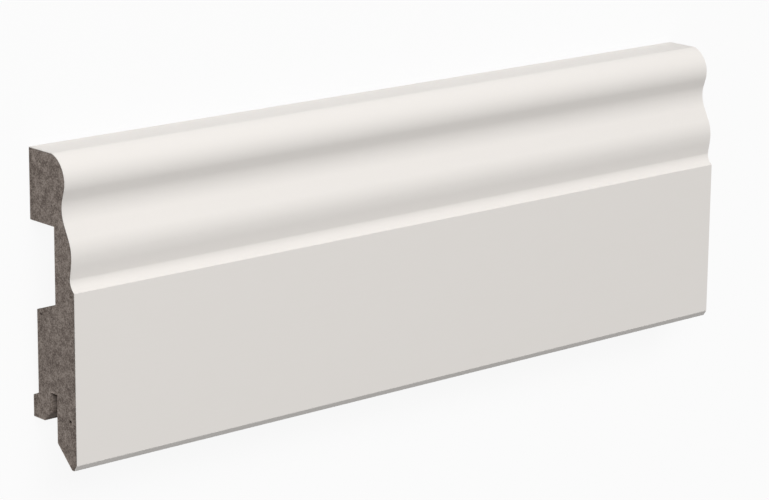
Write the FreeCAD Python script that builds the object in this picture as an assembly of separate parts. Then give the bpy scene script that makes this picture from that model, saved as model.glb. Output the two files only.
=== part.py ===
import FreeCAD, Part
import math
import os

# A length of skirting board: an MDF moulding whose front is covered by a thin white wrap.
# It lies on its back. X runs along the length, +Y points to the top edge, +Z out of the front.
# The origin is on the surface that the back lies on, under the middle of the board.
# All sizes are in millimetres and all angles in degrees.

# The whole board
LENGTH = 275.0
HEIGHT = 96.0
THICKNESS = 22.0

# The white wrap
WRAP = 0.2

# The moulded front, from its top edge down: a bead, a hollow, a swell and a small cove.
# The swell's crest lies this far behind the flat front, the hollow's deepest line lies behind
# the swell's crest, and the bead's crest stands out before the hollow.
SWELL_SET_BACK = 1.2
HOLLOW_DEPTH = 4.4
BEAD_PROUD = 1.6
# The angle at which the bead leaves the top edge
BEAD_ANGLE = 15.0
BEAD_RADIUS = 8.5
HOLLOW_RADIUS = 11.4
SWELL_UPPER_RADIUS = 14.7
SWELL_LOWER_RADIUS = 18.5
# From the swell's crest down to the crease above the cove
SWELL_DROP = 5.8
COVE_RADIUS = 5.5

# The foot: a chamfer on the front, a rounded corner where the wrap ends, a narrow flat, and a
# bevel up to the back of the front leg. The width is taken from the corner before it is rounded.
CHAMFER_DEPTH = 1.3
CHAMFER_HEIGHT = 1.9
FOOT_ROUND = 0.5
FOOT_WIDTH = 1.3
BEVEL_HEIGHT = 6.8
LEG_THICKNESS = 9.8

# The clip slot behind the front leg, open at its foot, and the tab that hooks over the clip
SLOT_WIDTH = 3.3
SLOT_DEPTH = 9.5
TAB_BOTTOM = 12.4
TAB_WIDTH = 6.9
TAB_CHAMFER = 3.1
TAB_SLOPE = 22.5

# The middle of the back is milled down behind the two faces that meet the wall
BACK_RECESS = 2.7

# The channel for cables, between the upper land and the middle of the back
LAND_WIDTH = 22.2
CHANNEL_WIDTH = 23.9
CHANNEL_WEB = 9.8
CHANNEL_SLOPE = 19.0

TOP = HEIGHT / 2
BOTTOM = -HEIGHT / 2


def at(y, z):
    """A point of the section, which is drawn at the board's left end."""
    return FreeCAD.Vector(-LENGTH / 2, y, z)


def rise(run, angle):
    """How far a slope climbs over a run."""
    return run * math.tan(math.radians(angle))


def leg(hypotenuse, side):
    """The third side of a right-angled triangle."""
    return math.sqrt(hypotenuse ** 2 - side ** 2)


def line(start, end):
    return Part.LineSegment(start, end).toShape()


def half_way(centre, start, end):
    """The point half way round from start to end."""
    middle = (start + end) * 0.5 - centre
    return centre + middle * ((start - centre).Length / middle.Length)


def arc(centre, start, end):
    """The arc about a centre that goes the short way from start to end."""
    return Part.Arc(start, half_way(centre, start, end), end).toShape()


def touch(centre, radius, other, other_radius):
    """The point where two circles touch from outside."""
    return centre + (other - centre) * (radius / (radius + other_radius))


def moulding():
    """The curved edges of the front, from the top edge down to the flat, and the flat's upper end."""
    crest_z = THICKNESS - SWELL_SET_BACK
    hollow_z = crest_z - HOLLOW_DEPTH
    bead_z = hollow_z + BEAD_PROUD

    turn = math.radians(BEAD_ANGLE)
    bead = at(TOP - BEAD_RADIUS * math.cos(turn), bead_z - BEAD_RADIUS)
    start = bead + FreeCAD.Vector(0, BEAD_RADIUS * math.cos(turn), BEAD_RADIUS * math.sin(turn))

    drop = leg(BEAD_RADIUS + HOLLOW_RADIUS, hollow_z + HOLLOW_RADIUS - bead.z)
    hollow = at(bead.y - drop, hollow_z + HOLLOW_RADIUS)
    drop = leg(HOLLOW_RADIUS + SWELL_UPPER_RADIUS, hollow.z - crest_z + SWELL_UPPER_RADIUS)
    swell = at(hollow.y - drop, crest_z - SWELL_UPPER_RADIUS)

    bead_end = touch(bead, BEAD_RADIUS, hollow, HOLLOW_RADIUS)
    hollow_end = touch(hollow, HOLLOW_RADIUS, swell, SWELL_UPPER_RADIUS)
    crest = at(swell.y, crest_z)

    lower_swell = at(swell.y, crest_z - SWELL_LOWER_RADIUS)
    crease = at(swell.y - SWELL_DROP, lower_swell.z + leg(SWELL_LOWER_RADIUS, SWELL_DROP))
    cove = at(crease.y, crease.z + COVE_RADIUS)
    flat = at(cove.y - leg(COVE_RADIUS, cove.z - THICKNESS), THICKNESS)

    edges = [
        arc(bead, start, bead_end),
        arc(hollow, bead_end, hollow_end),
        arc(swell, hollow_end, crest),
        arc(lower_swell, crest, crease),
        arc(cove, crease, flat),
    ]
    return start, edges, flat


def back(foot):
    """The corners of the milled back, from the foot's back edge up to the top edge."""
    leg_z = THICKNESS - LEG_THICKNESS
    slot_z = leg_z - SLOT_WIDTH
    tab_y = BOTTOM + TAB_BOTTOM
    tab_top = tab_y + TAB_WIDTH
    channel_z = THICKNESS - CHANNEL_WEB
    channel_top = TOP - LAND_WIDTH
    channel_low = channel_top - CHANNEL_WIDTH
    return [
        foot,
        at(BOTTOM + BEVEL_HEIGHT, leg_z),
        at(tab_y + SLOT_DEPTH, leg_z),
        at(tab_y + SLOT_DEPTH, slot_z),
        at(tab_y + TAB_CHAMFER, slot_z),
        at(tab_y, slot_z - TAB_CHAMFER),
        at(tab_y, 0),
        at(tab_top, 0),
        at(tab_top + rise(BACK_RECESS, TAB_SLOPE), BACK_RECESS),
        at(channel_low - rise(channel_z - BACK_RECESS, CHANNEL_SLOPE), BACK_RECESS),
        at(channel_low, channel_z),
        at(channel_top, channel_z),
        at(channel_top, 0),
        at(TOP, 0),
    ]


def sections():
    """The faces of the wrap and of the core, both drawn at the left end."""
    start, curves, flat = moulding()
    chamfer_top = at(BOTTOM + CHAMFER_HEIGHT, THICKNESS)
    corner = at(BOTTOM, THICKNESS - CHAMFER_DEPTH)
    foot_back = corner - FreeCAD.Vector(0, 0, FOOT_WIDTH)
    corners = back(foot_back)

    up = (chamfer_top - corner).normalize()
    reach = FOOT_ROUND * math.tan((math.pi / 2 - math.atan2(CHAMFER_DEPTH, CHAMFER_HEIGHT)) / 2)
    round_start = corner + up * reach
    round_end = corner - FreeCAD.Vector(0, 0, reach)
    centre = round_end + FreeCAD.Vector(0, FOOT_ROUND, 0)
    wrap_end = half_way(centre, round_start, round_end)

    front = [line(corners[-1], start)] + curves + [line(flat, chamfer_top)]
    front = front + [line(chamfer_top, round_start), arc(centre, round_start, wrap_end)]
    wrap = Part.Wire(front).makeOffset2D(-WRAP, 2, True, True, False)

    foot = [arc(centre, wrap_end, round_end), line(round_end, foot_back)]
    behind = [line(a, b) for a, b in zip(corners, corners[1:])]
    board = Part.Face(Part.Wire(front + foot + behind))
    return wrap, board.cut(wrap)


def main():
    os.makedirs("parts", exist_ok=True)
    wrap, core = sections()
    for name, section in (("mdf_core", core), ("foil_wrap", wrap)):
        solid = section.Faces[0].extrude(FreeCAD.Vector(LENGTH, 0, 0))
        solid.exportStep("parts/" + name + ".step")
        box = solid.BoundBox
        print(name, solid.isValid(), len(section.Faces), round(solid.Volume), len(solid.Faces), box)


main()
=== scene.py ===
# %% [markdown]
# A length of skirting board, lying on its back
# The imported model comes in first. It holds two pieces at their true size: the MDF moulding and
# the thin white film over its front. X runs along the board, +Y points to its moulded top edge,
# and +Z points out of its white front. Blender works in metres, so a millimetre is 0.001.

# %% Load the fixed frame
import math
import random
import bmesh
import bpy
from mathutils import Matrix, Vector


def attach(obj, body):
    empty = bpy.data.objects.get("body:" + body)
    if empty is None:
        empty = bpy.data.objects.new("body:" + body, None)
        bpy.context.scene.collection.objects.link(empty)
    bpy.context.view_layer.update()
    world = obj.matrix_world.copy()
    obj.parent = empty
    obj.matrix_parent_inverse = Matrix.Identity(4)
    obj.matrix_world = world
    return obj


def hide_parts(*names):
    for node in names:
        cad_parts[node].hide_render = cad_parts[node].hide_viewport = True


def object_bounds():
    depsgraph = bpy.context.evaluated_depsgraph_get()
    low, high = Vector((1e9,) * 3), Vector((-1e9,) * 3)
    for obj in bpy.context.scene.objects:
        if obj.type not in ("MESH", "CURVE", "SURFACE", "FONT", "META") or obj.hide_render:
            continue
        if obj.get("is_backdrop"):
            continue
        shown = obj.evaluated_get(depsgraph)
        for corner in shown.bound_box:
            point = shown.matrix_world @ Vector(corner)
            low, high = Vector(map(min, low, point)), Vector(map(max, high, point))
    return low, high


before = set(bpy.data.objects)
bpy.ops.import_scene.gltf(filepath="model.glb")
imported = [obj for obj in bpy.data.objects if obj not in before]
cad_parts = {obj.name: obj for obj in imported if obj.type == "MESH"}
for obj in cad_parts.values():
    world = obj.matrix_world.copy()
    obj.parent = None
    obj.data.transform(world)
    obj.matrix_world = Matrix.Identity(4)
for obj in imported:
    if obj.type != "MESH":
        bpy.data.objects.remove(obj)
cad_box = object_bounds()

MM = 0.001
BOTTOM, TOP = cad_box[0].y, cad_box[1].y
FRONT = cad_box[1].z
LENGTH = cad_box[1].x - cad_box[0].x
HALF = LENGTH / 2


def in_mm(lengths):
    """Lengths in millimetres, to be printed."""
    return [round(length / MM, 3) for length in lengths]


print("board", in_mm((LENGTH, TOP - BOTTOM, FRONT)), "mm")

# %% [markdown]
# The camera
# The photograph looks at the board's left end, its front and its top edge at once, through a long
# lens. The board now lies down, so the same view comes from above: the camera stands up and to the
# left, and the top of the picture is the board's own top edge. The photograph shows upright lines
# upright, which a shifted lens would copy, but a shift would stay in every other view. So the camera
# is only aimed and turned a little, until the board's corners lie closest to the photograph's.

# %% Camera
VIEW_FROM = Vector((-639.2, 242.3, 728.7)) * MM
VIEW_AT = Vector((-6.2, -2.7, 11.0)) * MM
VIEW_ROLL = math.radians(0.57)
LENS = 142.0
SENSOR = 36.0


def add_camera(place, target, picture_up, roll):
    """Aims a camera at a target. Its picture's up side leans to picture_up, then turns by roll."""
    back = (place - target).normalized()
    right = picture_up.cross(back).normalized()
    up = back.cross(right)
    turn = Matrix((right, up, back)).transposed() @ Matrix.Rotation(roll, 3, "Z")
    data = bpy.data.cameras.new("photo_view")
    data.lens = LENS
    data.sensor_fit = "HORIZONTAL"
    data.sensor_width = SENSOR
    camera = bpy.data.objects.new("photo_view", data)
    camera.matrix_world = Matrix.Translation(place) @ turn.to_4x4()
    bpy.context.scene.collection.objects.link(camera)
    bpy.context.scene.camera = camera


add_camera(VIEW_FROM, VIEW_AT, Vector((0, 1, 0)), VIEW_ROLL)
print("camera distance", round((VIEW_FROM - VIEW_AT).length, 3), "m")

# %% [markdown]
# Picking by place
# By hand you would click on an edge. In a script the same choice is a question asked of every
# edge: is it where I want it? These helpers open a piece for editing, pick what passes a question,
# and apply a modifier at the end. Everything else is deselected first, because an operator acts on
# all that is picked.


# %% Helpers for modelling
def edit(piece):
    """Makes a piece the only one picked and opens it for editing."""
    bpy.ops.object.select_all(action="DESELECT")
    bpy.context.view_layer.objects.active = piece
    piece.select_set(True)
    bpy.ops.object.mode_set(mode="EDIT")


def pick(kind, question):
    """Picks the points, edges or faces of the piece in edit mode that pass a question."""
    bpy.ops.mesh.select_mode(type=kind)
    bpy.ops.mesh.select_all(action="DESELECT")
    mesh = bpy.context.object.data
    body = bmesh.from_edit_mesh(mesh)
    items = {"VERT": body.verts, "EDGE": body.edges, "FACE": body.faces}[kind]
    found = [item for item in items if question(item)]
    for item in found:
        item.select_set(True)
    body.select_flush_mode()
    bmesh.update_edit_mesh(mesh)
    return len(found)


def apply_modifier(piece, kind, **settings):
    """Leaves edit mode, adds one modifier to a piece, sets it and applies it."""
    bpy.ops.object.mode_set(mode="OBJECT")
    bpy.context.view_layer.objects.active = piece
    modifier = piece.modifiers.new(kind.lower(), kind)
    for name, value in settings.items():
        setattr(modifier, name, value)
    bpy.ops.object.modifier_apply(modifier=modifier.name)


print("helpers: edit, pick, apply_modifier")

# %% [markdown]
# The line of the moulding
# The front is cut by one shaped cutter, so its outline is a few circles with short straights between
# them: a bead, a fall into a hollow, a rise to a swell that is rounder above than below, a gentle run
# down to a crease, and a small cove that lands on the flat. A curve drawn by eye would bulge a little
# somewhere. Circles and straights that share their slope can't, and each keeps a size of its own.

# %% Sizes of the moulding
# Radii of the circles
BEAD = 8.5 * MM
HOLLOW = 10.0 * MM
SWELL_ABOVE = 11.6 * MM
SWELL_BELOW = 19.0 * MM
COVE = 4.5 * MM
# Lengths and slopes of the straights between them
FALL, FALL_SLOPE = 2.3 * MM, math.radians(18)
RISE, RISE_SLOPE = 4.7 * MM, math.radians(-27)
RUN, RUN_SLOPE = 3.5 * MM, math.radians(10)
# The slope at which the bead leaves the top edge, and how far its front lies behind the flat
BEAD_SLOPE = math.radians(-75)
BEAD_SET_BACK = 4.0 * MM
print("radii", in_mm((BEAD, HOLLOW, SWELL_ABOVE, SWELL_BELOW, COVE)), "mm")
print("straights", in_mm((FALL, RISE, RUN)), "mm")

# %% [markdown]
# Walking down the line
# The line is walked from the top edge to the flat, as a finger would follow it. Each stretch starts
# where the one before ends and keeps its slope. A slope is measured from the flat front: 0 looks
# straight out, and a positive slope looks down to the foot. The centre of a circle lies square
# behind the face where the circle bulges, and square before it where the circle is hollow.


# %% Walk down the moulding
def at(y, z):
    """A point of the section, or a step across it."""
    return Vector((0, y, z))


def out(slope):
    """The direction square out of the front, where it has a slope."""
    return at(-math.sin(slope), math.cos(slope))


def down(slope):
    """The direction down the front towards the foot, where it has a slope."""
    return at(-math.cos(slope), -math.sin(slope))


bead = at(TOP - BEAD * out(BEAD_SLOPE).y, FRONT - BEAD_SET_BACK - BEAD)
edge = bead + out(BEAD_SLOPE) * BEAD
bead_end = bead + out(FALL_SLOPE) * BEAD
fall_end = bead_end + down(FALL_SLOPE) * FALL
hollow = fall_end + out(FALL_SLOPE) * HOLLOW
hollow_end = hollow - out(RISE_SLOPE) * HOLLOW
rise_end = hollow_end + down(RISE_SLOPE) * RISE
swell_above = rise_end - out(RISE_SLOPE) * SWELL_ABOVE
crest = swell_above + at(0, SWELL_ABOVE)
swell_below = crest - at(0, SWELL_BELOW)
swell_end = swell_below + out(RUN_SLOPE) * SWELL_BELOW
crease = swell_end + down(RUN_SLOPE) * RUN
cove = crease + at(0, COVE)
flat = at(cove.y - math.sqrt(COVE ** 2 - (cove.z - FRONT) ** 2), FRONT)
for name, point in (("edge", edge), ("crest", crest), ("crease", crease), ("flat", flat)):
    print(name, in_mm(point.yz))

# %% [markdown]
# The foot
# Below the flat the front ends in a chamfer, and the corner under the chamfer is rounded. The film
# goes over the chamfer and ends half way round that corner. The same helpers lead there: the circle
# touches the chamfer and the foot's own flat, so its centre follows from the sharp corner that
# those two would make.

# %% Walk round the foot
CHAMFER_HEIGHT = 1.9 * MM
CHAMFER_DEPTH = 1.3 * MM
FOOT_ROUND = 0.5 * MM
FOOT_SLOPE = math.radians(90)

chamfer_slope = math.atan2(CHAMFER_DEPTH, CHAMFER_HEIGHT)
chamfer_top = at(BOTTOM + CHAMFER_HEIGHT, FRONT)
foot_corner = at(BOTTOM, FRONT - CHAMFER_DEPTH)
reach = FOOT_ROUND * math.tan((FOOT_SLOPE - chamfer_slope) / 2)
round_start = foot_corner - down(chamfer_slope) * reach
foot_round = round_start - out(chamfer_slope) * FOOT_ROUND
film_end = foot_round + out((chamfer_slope + FOOT_SLOPE) / 2) * FOOT_ROUND
print("film end", in_mm(film_end.yz))

# %% [markdown]
# Carrying an edge along
# The film will grow from one free edge that is carried along the line, as by hand. Spin sweeps the
# picked edge round a centre and leaves faces behind it, and extrude pulls it straight on. After each
# of them the new free edge is the picked one, so the next stretch can start at once. A circle gets a
# step for every three degrees of its turn, which looks round from close by too.

# %% Helpers for laying the film
CLOSE = 0.001 * MM
TURN_STEP = math.radians(3.0)


def at_line(item, point):
    """True if an edge runs along the board through a point of the section."""
    return all((vert.co.yz - point.yz).length < CLOSE for vert in item.verts)


def lay_round(start, centre, end):
    """Carries the strip's free edge round a circle, from one point of the section to the next."""
    before, after = start - centre, end - centre
    turn = math.atan2(before.y * after.z - before.z * after.y, before.dot(after))
    steps = math.ceil(abs(turn) / TURN_STEP)
    # Spin counts its angle the other way round
    bpy.ops.mesh.spin(steps=steps, angle=-turn, center=centre, axis=(1, 0, 0))
    print("round by", round(math.degrees(turn), 1), "degrees in", steps, "steps")


def lay_flat(start, end):
    """Carries the strip's free edge straight on."""
    bpy.ops.mesh.extrude_region_move(TRANSFORM_OT_translate={"value": end - start})


print("a circle gets a step for every", round(math.degrees(TURN_STEP), 1), "degrees")

# %% [markdown]
# The white film
# The film is one strip of printed paper and lacquer, glued on while the board runs under a row of
# rollers. They press it over the top edge, round the bead, into the hollow and down to the foot.
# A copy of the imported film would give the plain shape, but a strip that is laid in the same order as
# the real one can follow the finer line. A plane is the stretch on the top edge, and its front edge
# is the strip's first free edge.

# %% Lay the film over the moulding
UPRIGHT = (math.radians(-90), 0, 0)

bpy.ops.object.select_all(action="DESELECT")
bpy.ops.mesh.primitive_plane_add(size=1, location=(0, TOP, edge.z / 2), rotation=UPRIGHT)
film = bpy.context.object
film.name = film.data.name = "white_film"
film.scale = (LENGTH, edge.z, 1)
bpy.ops.object.transform_apply(location=True, rotation=True, scale=True)
edit(film)
pick("EDGE", lambda item: at_line(item, edge))
lay_round(edge, bead, bead_end)
lay_flat(bead_end, fall_end)
lay_round(fall_end, hollow, hollow_end)
lay_flat(hollow_end, rise_end)
lay_round(rise_end, swell_above, crest)
lay_round(crest, swell_below, swell_end)
lay_flat(swell_end, crease)
lay_round(crease, cove, flat)
lay_flat(flat, chamfer_top)
lay_flat(chamfer_top, round_start)
lay_round(round_start, foot_round, film_end)

# %% [markdown]
# Which side of the strip is its face
# A face looks to one side only, and the film gets its thickness on the other. Blender can make all
# faces agree, but an open strip has no inside that would say which way. On the real film the white
# side looks out of the board, so if any face looks straight back, the whole strip is turned over.
# A copy of the bare strip is put by, because the board's own front is pressed to it further on.

# %% Turn the film's faces outwards
LOOKS_BACK = -0.9

bpy.ops.mesh.select_all(action="SELECT")
bpy.ops.mesh.remove_doubles(threshold=CLOSE)
bpy.ops.mesh.normals_make_consistent(inside=False)
if any(face.normal.z < LOOKS_BACK for face in bmesh.from_edit_mesh(film.data).faces):
    bpy.ops.mesh.flip_normals()
bpy.ops.object.mode_set(mode="OBJECT")
bare_strip = bpy.data.objects.new("bare_strip", film.data.copy())
bpy.context.scene.collection.objects.link(bare_strip)
print("film strip", len(film.data.polygons), "faces")

# %% [markdown]
# The film's arrises and its thickness
# Paper can't fold to a knife edge, so where the film turns an outer corner it goes round a small
# radius. On a finished shell the two walls would need a bevel each, so the corners get theirs while
# the strip is still a bare surface. Solidify then gives it thickness on its inner side alone, so
# that the white face stays exactly on the board's outline.

# %% Round the arrises and give the film its thickness
FILM = 0.2 * MM
ARRIS = 0.15 * MM
FILM_SHARP_FROM = math.radians(25)

edit(film)
for turn_at in (edge, flat, chamfer_top):
    pick("EDGE", lambda item: at_line(item, turn_at))
    bpy.ops.mesh.bevel(offset=ARRIS, offset_type="OFFSET", segments=3, profile=0.5)
apply_modifier(film, "SOLIDIFY", thickness=FILM, offset=-1, use_even_offset=True, use_rim=True)
bpy.ops.object.shade_smooth_by_angle(angle=FILM_SHARP_FROM)
apply_modifier(film, "WEIGHTED_NORMAL", mode="FACE_AREA", weight=50, keep_sharp=True)
print("film", len(film.data.polygons), "faces")

# %% [markdown]
# The sawn board
# Behind the film is MDF, wood fibre pressed into a board. Its long faces come from sanding and
# milling and are smooth, but the two ends are sawn: the blade leaves a felt of torn fibres and
# opens small holes where clumps of fibre fell out. The section could be drawn once more, but the
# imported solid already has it, so the piece starts as a copy. Its mesh is loose triangles, and they
# are merged back into whole faces first.

# %% Copy the milled section
SAME_PLANE = math.radians(0.5)

board = bpy.data.objects.new("sawn_board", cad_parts["mdf_core"].data.copy())
bpy.context.scene.collection.objects.link(board)
edit(board)
bpy.ops.mesh.select_all(action="SELECT")
bpy.ops.mesh.customdata_custom_splitnormals_clear()
bpy.ops.mesh.remove_doubles(threshold=CLOSE)
bpy.ops.mesh.dissolve_limited(angle_limit=SAME_PLANE, use_dissolve_boundaries=False)
print("board", len(bmesh.from_edit_mesh(board.data).faces), "faces")

# %% [markdown]
# The front under the film
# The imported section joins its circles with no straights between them, so its front lies up to a fifth
# of a millimetre off the finer line that the film follows. The points could be moved one by one, but
# Shrinkwrap does it in one go: it presses each point of the moulded front against the bare strip and
# then back by the film's thickness. The strip has done its work then and is deleted.

# %% Press the moulded front against the film
BACK_BELOW = 13.0 * MM


def on_moulding(item):
    """True for a point of the moulded front, between the middle of the bead and the flat."""
    return item.co.z > BACK_BELOW and flat.y < item.co.y < bead.y


def group_picked(piece, name):
    """Leaves edit mode and puts the picked points of the piece into a vertex group."""
    bpy.ops.object.mode_set(mode="OBJECT")
    group = piece.vertex_groups.new(name=name)
    group.add([vert.index for vert in piece.data.vertices if vert.select], 1.0, "REPLACE")


print("points of the moulding", pick("VERT", on_moulding))
group_picked(board, "moulded")
before = [vert.co.copy() for vert in board.data.vertices]
apply_modifier(board, "SHRINKWRAP", target=bare_strip, wrap_method="NEAREST_SURFACEPOINT",
               wrap_mode="ABOVE_SURFACE", offset=-FILM, vertex_group="moulded")
bpy.data.objects.remove(bare_strip)
moves = [(vert.co - place).length for vert, place in zip(board.data.vertices, before)]
print("pressed by up to", round(max(moves) / MM, 3), "mm")

# %% [markdown]
# Arrises of the milled back
# MDF never keeps a perfectly sharp corner: the last fibres break away. Each outer corner that runs
# along the back and the foot loses a small bevel. A Bevel modifier that goes by the angle would take
# the inner corners and the covered front too, so the edges are picked instead: those that run along
# the board, stand out rather than in, and don't lie under the film.

# %% Ease the milled corners
MILLED_ARRIS = 0.18 * MM
REAL_CORNER = math.radians(10)


def outer_corner(item):
    """True for an outer corner that runs along the milled back or the foot."""
    first, second = (vert.co for vert in item.verts)
    along = abs(first.x - second.x) > HALF
    on_back = first.z < BACK_BELOW and first.y < TOP - 2 * FILM
    on_foot = first.y < BOTTOM + FILM and first.z < foot_round.z - FILM
    outer = item.is_convex and item.calc_face_angle() > REAL_CORNER
    return along and outer and (on_back or on_foot)


edit(board)
print("milled corners", pick("EDGE", outer_corner))
bpy.ops.mesh.bevel(offset=MILLED_ARRIS, offset_type="OFFSET", segments=2, profile=0.5)

# %% [markdown]
# A grid on the sawn ends
# Relief needs points to move, and each end is one big face. A remesh would give it points, but it
# would wear down the corners of the outline. Bisect keeps them: it slices the picked end faces like
# a bread knife, step by step along Y and then along Z. The cells at the outline have odd shapes and
# are cut into triangles, and one subdivide then makes the whole grid three times finer.

# %% Cut the ends into cells
CELL = 1.0 * MM
CELL_CUTS = 2


def on_end(item):
    """True for what lies in the plane of an end."""
    return all(abs(abs(vert.co.x) - HALF) < CLOSE for vert in item.verts)


def slice_ends(normal, low, high):
    """Cuts the end faces at even steps along Y or Z."""
    count = int((high - low) / CELL)
    for index in range(1, count + 1):
        pick("FACE", on_end)
        bpy.ops.mesh.bisect(plane_co=Vector(normal) * (low + index * CELL), plane_no=normal)
    print("slices", count)


slice_ends((0, 1, 0), BOTTOM, TOP)
slice_ends((0, 0, 1), 0, FRONT)
pick("FACE", lambda face: on_end(face) and len(face.verts) != 4)
bpy.ops.mesh.quads_convert_to_tris()
pick("FACE", on_end)
bpy.ops.mesh.subdivide(number_cuts=CELL_CUTS)
print("end faces", pick("FACE", on_end))

# %% [markdown]
# Holes where fibres fell out
# The near end shows one dark hole low on the front leg, two small ones beside it, and a few faint
# ones further up. Cutting them with a boolean would leave them round and clean, as if drilled. So
# each is a single point pushed into the wood with its neighbours dragged along, which is Blender's
# proportional move. A few more are strewn on both ends from a fixed seed, where there is wood all
# round them.

# %% Push in the pinholes
# Each hole's place along Y and Z, its radius and its depth, in millimetres. A strewn hole's depth
# is given in radii.
SEEN_HOLES = [
    (-33.2, 18.5, 0.5, 1.0), (-33.9, 20.3, 0.36, 0.5), (-34.7, 20.3, 0.36, 0.5),
    (44.8, 3.0, 0.38, 0.4), (44.1, 5.2, 0.36, 0.4), (30.9, 14.5, 0.4, 0.5), (-2.6, 4.2, 0.4, 0.5),
]
STREWN_HOLES = 12
STREWN_RADII = (0.34, 0.42)
STREWN_DEPTHS = (0.8, 1.4)
HOLE_SEED = 4
WOOD_AROUND = 1.4 * MM
POINTS_AROUND = 50


def inside_section(y, z):
    """True where the grid of the near end goes on all round a place."""
    body = bmesh.from_edit_mesh(board.data)
    level = [vert.co for vert in body.verts if vert.co.x < 0 and abs(vert.co.y - y) < WOOD_AROUND]
    return len([place for place in level if abs(place.z - z) < WOOD_AROUND]) > POINTS_AROUND


def push_hole(end, y, z, radius, depth):
    """Moves the nearest point of an end inwards and drags its neighbours along."""
    target = Vector((end * HALF, y, z))
    body = bmesh.from_edit_mesh(board.data)
    nearest = min(body.verts, key=lambda vert: (vert.co - target).length)
    pick("VERT", lambda item: item.index == nearest.index)
    bpy.ops.transform.translate(
        value=(-end * depth, 0, 0), use_proportional_edit=True,
        proportional_edit_falloff="SPHERE", proportional_size=radius)


bmesh.from_edit_mesh(board.data).verts.index_update()
for y, z, radius, depth in SEEN_HOLES:
    push_hole(-1, y * MM, z * MM, radius * MM, depth * MM)
draw = random.Random(HOLE_SEED)
made = 0
while made < STREWN_HOLES:
    y, z = draw.uniform(BOTTOM, TOP), draw.uniform(0, FRONT)
    end, radius = draw.choice((-1, 1)), draw.uniform(*STREWN_RADII) * MM
    if inside_section(y, z):
        push_hole(end, y, z, radius, radius * draw.uniform(*STREWN_DEPTHS))
        made += 1
print("holes", len(SEEN_HOLES) + made)

# %% [markdown]
# The torn felt of the saw cut
# Bump in the material would only shade the felt, and the end would still be a flat mesh. So two
# cloud textures move its points: a wide one for soft patches that the blade pressed, and a fine one
# for single clumps. Both only ever move them inwards, and the rim stays put, so the board keeps its
# length and its outline.

# %% Roughen the ends
PATCH_SIZE, PATCH_DEPTH = 1.6 * MM, 0.14 * MM
CLUMP_SIZE, CLUMP_DEPTH = 0.55 * MM, 0.16 * MM
END_ZONE = 2.0 * MM
FACES_THE_END = 0.2
BOARD_SHARP_FROM = math.radians(40)


def inside_an_end(item):
    """True for a point of an end that isn't on its rim."""
    near_end = abs(item.co.x) > HALF - END_ZONE
    return near_end and all(abs(face.normal.x) > FACES_THE_END for face in item.link_faces)


print("points of the felt", pick("VERT", inside_an_end))
group_picked(board, "sawn")
for name, size, depth in (("patches", PATCH_SIZE, PATCH_DEPTH), ("clumps", CLUMP_SIZE, CLUMP_DEPTH)):
    clouds = bpy.data.textures.new(name, "CLOUDS")
    clouds.noise_scale = size
    clouds.noise_depth = 2
    apply_modifier(board, "DISPLACE", texture=clouds, texture_coords="LOCAL", direction="NORMAL",
                   mid_level=1.0, strength=depth, vertex_group="sawn")
bpy.ops.object.shade_smooth_by_angle(angle=BOARD_SHARP_FROM)
print("board", len(board.data.polygons), "faces")
print("from", in_mm(board.bound_box[0]), "to", in_mm(board.bound_box[6]))

# %% [markdown]
# Shader maths as expressions
# A node tree is easier to read as a formula. This small class wraps one socket, and each operator
# adds the Math node for it, so that `1 - mask * 0.5` builds two nodes and links them.


# %% Sockets that take part in sums
class Value:
    """One output socket."""

    def __init__(self, graph, socket):
        self.graph = graph
        self.socket = socket

    def __add__(self, other):
        return self.graph.math("ADD", self, other)

    def __radd__(self, other):
        return self.graph.math("ADD", other, self)

    def __sub__(self, other):
        return self.graph.math("SUBTRACT", self, other)

    def __rsub__(self, other):
        return self.graph.math("SUBTRACT", other, self)

    def __mul__(self, other):
        return self.graph.math("MULTIPLY", self, other)

    def __rmul__(self, other):
        return self.graph.math("MULTIPLY", other, self)


print("sums add their own nodes")

# %% [markdown]
# Adding nodes
# Any node comes from one method. It takes the node's type, its settings, the output that is wanted
# and what goes into its sockets, by name or, as _0 and _1, by number. The nodes that both finishes
# need over and over, such as noise and a soft step, get a short method of their own, so that a
# finish can be read as a list of what it is made of.


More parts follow.
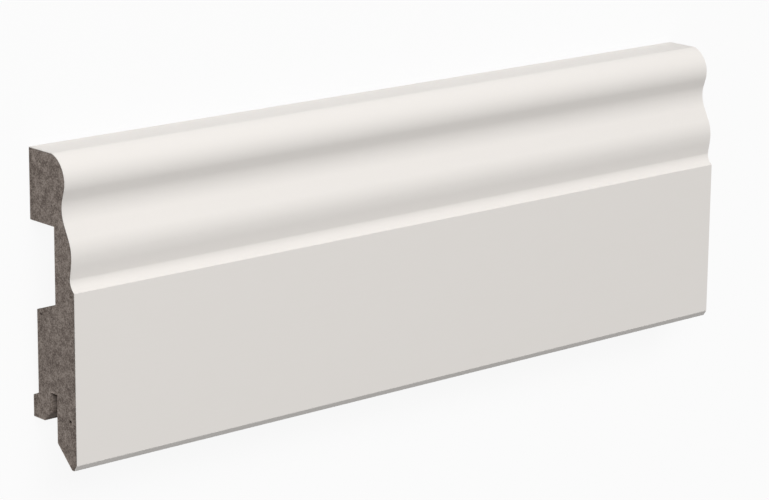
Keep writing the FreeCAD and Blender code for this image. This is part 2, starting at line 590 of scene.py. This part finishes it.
# %% A tree that adds any node
class Graph:
    """One node tree."""

    def __init__(self, tree):
        self.tree = tree

    def add(self, kind, settings=None, output=0, **inputs):
        """Adds a node and gives one of its outputs. The settings come before the sockets."""
        node = self.tree.nodes.new("ShaderNode" + kind)
        for name, value in (settings or {}).items():
            setattr(node, name, value)
        for name, value in inputs.items():
            key = int(name[1:]) if name.startswith("_") else name.replace("_", " ")
            self.join(node.inputs[key], value)
        return Value(self, node.outputs[output])

    def join(self, socket, value):
        """Links a value to a socket, or sets a plain number or colour on it."""
        if isinstance(value, Value):
            self.tree.links.new(value.socket, socket)
        else:
            socket.default_value = value

    def show(self, surface):
        """Makes a shader the one that the material shows."""
        output = self.tree.nodes.new("ShaderNodeOutputMaterial")
        self.join(output.inputs["Surface"], surface)

    def math(self, operation, *values):
        """Adds a Math node with its numbers or values in order."""
        sockets = {"_" + str(index): value for index, value in enumerate(values)}
        return self.add("Math", {"operation": operation}, **sockets)

    def place(self):
        """Where a point lies in its piece's own space, in metres."""
        return self.add("TexCoord", None, "Object")

    def squeezed(self, share):
        """The same place with X cut to a share, which draws a pattern out along the board."""
        return self.add("Mapping", Vector=self.place(), Scale=(share, 1, 1))

    def ease(self, value, low, high):
        """Goes softly from 0 to 1 as a value goes from low to high."""
        settings = {"interpolation_type": "SMOOTHSTEP"}
        return self.add("MapRange", settings, Value=value, From_Min=low, From_Max=high)

    def noise(self, place, size, detail=2.0, roughness=0.5):
        """Cloudy noise from about 0 to 1, whose lumps are about a size across."""
        return self.add("TexNoise", Vector=place, Scale=1 / size, Detail=detail, Roughness=roughness)

    def mix(self, share, first, second):
        """Mixes two colours. A share of 1 is all of the second."""
        return self.add("Mix", {"data_type": "RGBA"}, 2, _0=share, _6=first, _7=second)

    def dim(self, colour, factor):
        """Makes a colour darker by a factor."""
        return self.add("VectorMath", {"operation": "SCALE"}, 0, _0=colour, _3=factor)


print("nodes are added by name")

# %% [markdown]
# The start and the end of a material
# A new material comes with a shader of its own. It could be kept and changed, but an empty tree holds
# nothing that isn't written here. A piece then gets its finish in place of what it came with.


# %% Start and use a material
def new_material(name):
    """A material and its empty tree."""
    material = bpy.data.materials.new(name)
    material.use_nodes = True
    material.node_tree.nodes.clear()
    return material, Graph(material.node_tree)


def finish_with(piece, material):
    """Gives a piece its one material."""
    piece.data.materials.clear()
    piece.data.materials.append(material)
    print(material.name, "has", len(material.node_tree.nodes), "nodes")


print("materials start empty")

# %% [markdown]
# Satin white film
# The lacquer is a warm white with a satin face. Seen close it has a very fine skin, like orange
# peel, and a faint pull along the board from the rollers. Both are far too small to model, so they
# go into the bump. The same noise shifts the gloss a little, which keeps a highlight alive.

# %% Material of the film
FILM_WHITE = (0.868, 0.835, 0.800, 1)
FILM_DEEP = (0.852, 0.817, 0.780, 1)
FILM_ROUGHNESS = 0.29
PEEL_SIZE = 0.9 * MM
PULL_SIZE = 0.7 * MM
SHADE_SIZE = 9 * MM
FILM_RELIEF = 0.02 * MM
PULL_SHARE = 0.04


def film_material():
    """A warm white whose gloss is a little uneven."""
    material, g = new_material("satin_film")
    peel = g.noise(g.place(), PEEL_SIZE, detail=3.0)
    pull = g.noise(g.squeezed(PULL_SHARE), PULL_SIZE)
    shade = g.noise(g.place(), SHADE_SIZE)
    g.show(g.add(
        "BsdfPrincipled",
        Base_Color=g.mix(shade * 0.6 + pull * 0.4, FILM_WHITE, FILM_DEEP),
        Roughness=FILM_ROUGHNESS + shade * 0.1 + peel * 0.06,
        Specular_IOR_Level=0.4,
        Normal=g.add("Bump", Strength=0.25, Distance=FILM_RELIEF, Height=peel * 0.6 + pull * 0.4)))
    return material


finish_with(film, film_material())

# %% [markdown]
# Painted shade in the pinholes
# The holes that show in the near end get painted shade. Shadow alone leaves holes as small as these too
# pale, so each gets a soft dark dot, and the deeper the hole the darker the dot. A dot is a ball
# round the hole's mouth. Depth counts for less than width in it, so that it reaches the bottom.


# %% Painted shade in the holes of the near end
# Where a dot of painted shade fades out and where it is full, in radii of its hole
HOLE_SHADE_FADES, HOLE_SHADE_FULL = 1.2, 0.7
DEPTH_SHARE = 0.15


def dust(g):
    """How much painted shade there is: up to 1 in the holes that show in the near end, and 0 elsewhere.
    """
    dark = 0
    place = g.squeezed(DEPTH_SHARE)
    for y, z, radius, depth in SEEN_HOLES:
        mouth = (-HALF * DEPTH_SHARE, y * MM, z * MM)
        away = g.add("VectorMath", {"operation": "DISTANCE"}, "Value", _0=place, _1=mouth)
        dot = g.ease(away, HOLE_SHADE_FADES * radius * MM, HOLE_SHADE_FULL * radius * MM)
        # Painted shade: the deeper the hole, the darker its dot
        dark = g.math("MAXIMUM", dark, dot * depth)
    return dark


print("dots of dust", len(SEEN_HOLES))

# %% [markdown]
# Raw MDF
# MDF is one material all through, so its pattern is a solid one: noise in the board's own space, cut
# open by every face. A flat pattern laid on each face would break at the corners. Clumps of light
# and dark fibre make the mottling, and a few specks are bark. The pressed skins near the board's two
# faces are denser and a little darker than its core. On the milled back, the cutter draws everything
# out into faint lines along the board.

# %% Material of the board
MDF_LIGHT = (0.405, 0.345, 0.304, 1)
MDF_DARK = (0.145, 0.115, 0.098, 1)
# Colour of the bark specks, also used for the painted shade in the near end's holes
MDF_SPECK_AND_SHADE = (0.045, 0.035, 0.030, 1)
FIBRE_SIZE = 0.5 * MM
MOTTLE_SIZE = 2.2 * MM
LINE_SIZE = 0.45 * MM
SPECK_SIZE = 0.75 * MM
MDF_ROUGHNESS = 0.9
MDF_RELIEF = 0.08 * MM
LINE_SHARE = 0.03
SKIN_DARKER = 0.09
# Where a soft step starts and where it ends: in the fibre's noise, in the specks' noise, away from
# the middle of the length, and away from the middle of the thickness
TONE_STEP = (0.36, 0.66)
SPECK_STEP = (0.70, 0.76)
SAWN_STEP = (HALF - 0.9 * MM, HALF - 0.6 * MM)
SKIN_STEP = (FRONT / 2 - 2.2 * MM, FRONT / 2 - 0.6 * MM)


def mdf_material():
    """Mottled fibre board, torn on its sawn ends and drawn out where it is milled."""
    material, g = new_material("raw_mdf")
    x = g.add("SeparateXYZ", None, "X", Vector=g.place())
    z = g.add("SeparateXYZ", None, "Z", Vector=g.place())
    sawn = g.ease(g.math("ABSOLUTE", x), *SAWN_STEP)
    fibre = g.noise(g.place(), FIBRE_SIZE, detail=3.0, roughness=0.6)
    lines = g.noise(g.squeezed(LINE_SHARE), LINE_SIZE, detail=3.0, roughness=0.6)
    grain = sawn * fibre + (1 - sawn) * lines
    mottle = g.noise(g.place(), MOTTLE_SIZE, detail=3.0, roughness=0.55)
    tone = g.ease(grain * 0.6 + mottle * 0.4, *TONE_STEP)
    specks = sawn * g.ease(g.noise(g.place(), SPECK_SIZE, detail=1.0), *SPECK_STEP)
    # Bark specks and the painted shade in the near end's holes both take the speck colour
    specks_and_painted_shade = g.math("MAXIMUM", specks * 0.8, dust(g))
    skins = g.ease(g.math("ABSOLUTE", z - FRONT / 2), *SKIN_STEP)
    colour = g.mix(specks_and_painted_shade, g.mix(tone, MDF_DARK, MDF_LIGHT), MDF_SPECK_AND_SHADE)
    g.show(g.add(
        "BsdfPrincipled",
        Base_Color=g.dim(colour, 1 - skins * SKIN_DARKER),
        Roughness=MDF_ROUGHNESS - tone * 0.12,
        Specular_IOR_Level=0.25,
        Normal=g.add("Bump", Strength=0.6, Distance=MDF_RELIEF, Height=grain)))
    return material


finish_with(board, mdf_material())

# %% [markdown]
# Fixing the pieces to the frame
# Each piece is attached to the body it rides on, and the imported piece it stands for is hidden. The
# table also names the record's finish for each piece, which is not used here.

# %% Fix the pieces
for piece, node, finish in ((film, "foil_wrap", "foil"), (board, "mdf_core", "mdf")):
    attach(piece, "root")
    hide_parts(node)

# %% [markdown]
# The floor
# The photograph has a pure white ground. A floor that is simply painted white would still look grey
# in soft light, so part of what the camera sees of it is a plain white glow. The rest is ordinary
# matt paint, and that part carries the board's shadow.

# %% Floor
FLOOR_SIZE = 6.0
FLOOR_GAP = 0.1 * MM
FLOOR_GLOW = 0.92
FLOOR_PAINT = (0.7, 0.7, 0.7, 1)


def floor_material():
    """Matt paint that the camera sees mostly as plain white."""
    material, g = new_material("white_floor")
    camera_ray = g.add("LightPath", None, "Is Camera Ray")
    paint = g.add("BsdfDiffuse", Color=FLOOR_PAINT)
    glow = g.add("Emission", Color=(1, 1, 1, 1), Strength=1.0)
    g.show(g.add("MixShader", _0=camera_ray * FLOOR_GLOW, _1=paint, _2=glow))
    return material


bpy.ops.object.select_all(action="DESELECT")
bpy.ops.mesh.primitive_plane_add(size=FLOOR_SIZE, location=(0, 0, -FLOOR_GAP))
floor = bpy.context.object
floor.name = "floor"
finish_with(floor, floor_material())
floor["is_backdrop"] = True
print("floor", FLOOR_SIZE, "m wide")

# %% [markdown]
# Soft light from above the moulding
# The photograph's tones say where its light comes from. The bead's upper side is the brightest, the
# undersides of bead and swell are the darkest, and the chamfer at the foot is in deep shade. So one
# long soft lamp hangs above the front and leans towards the top edge. It reaches out past the left
# end, because light falls in there too, on the saw cut and into the slot. A second lamp from the
# foot's side would wash those shades out, so only a dim sky fills them.

# %% Lamp and sky
SKY = 0.15
KEY_ANGLE = math.radians(37.5)
KEY_DISTANCE = 5.0
KEY_SHIFT = -1.3
KEY_LONG, KEY_WIDE = 5.0, 2.1
KEY_POWER = 272


def add_softbox(name, place, target, long, wide, power):
    """A rectangular lamp that faces a target."""
    data = bpy.data.lights.new(name, "AREA")
    data.shape = "RECTANGLE"
    data.size = long
    data.size_y = wide
    data.energy = power
    lamp = bpy.data.objects.new(name, data)
    lamp.location = place
    lamp.rotation_euler = (target - place).to_track_quat("-Z", "Y").to_euler()
    bpy.context.scene.collection.objects.link(lamp)


def add_sky(name, strength):
    """A plain white sky all round."""
    world = bpy.data.worlds.new(name)
    bpy.context.scene.world = world
    world.use_nodes = True
    background = world.node_tree.nodes["Background"]
    background.inputs["Color"].default_value = (1, 1, 1, 1)
    background.inputs["Strength"].default_value = strength


key_place = Vector((0, math.sin(KEY_ANGLE), math.cos(KEY_ANGLE))) * KEY_DISTANCE
key_place.x = KEY_SHIFT
add_softbox("key", key_place, Vector((0, 0, 0)), KEY_LONG, KEY_WIDE, KEY_POWER)
add_sky("sky", SKY)
print("key lamp at", tuple(round(value, 2) for value in key_place), "m")

# %% [markdown]
# Sizes and finish
# The picture is shown in the Standard way, in which a colour looks about as it is written. The
# imported model's box and the dressed board's box are both printed. The dressed board must keep the
# imported model's box.

# %% Write the sizes and finish
bpy.context.scene.view_settings.view_transform = "Standard"
visual_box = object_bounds()
for name, packed, dressed in zip(("lowest", "highest"), cad_box, visual_box):
    print(name, "packed", in_mm(packed), "dressed", in_mm(dressed))
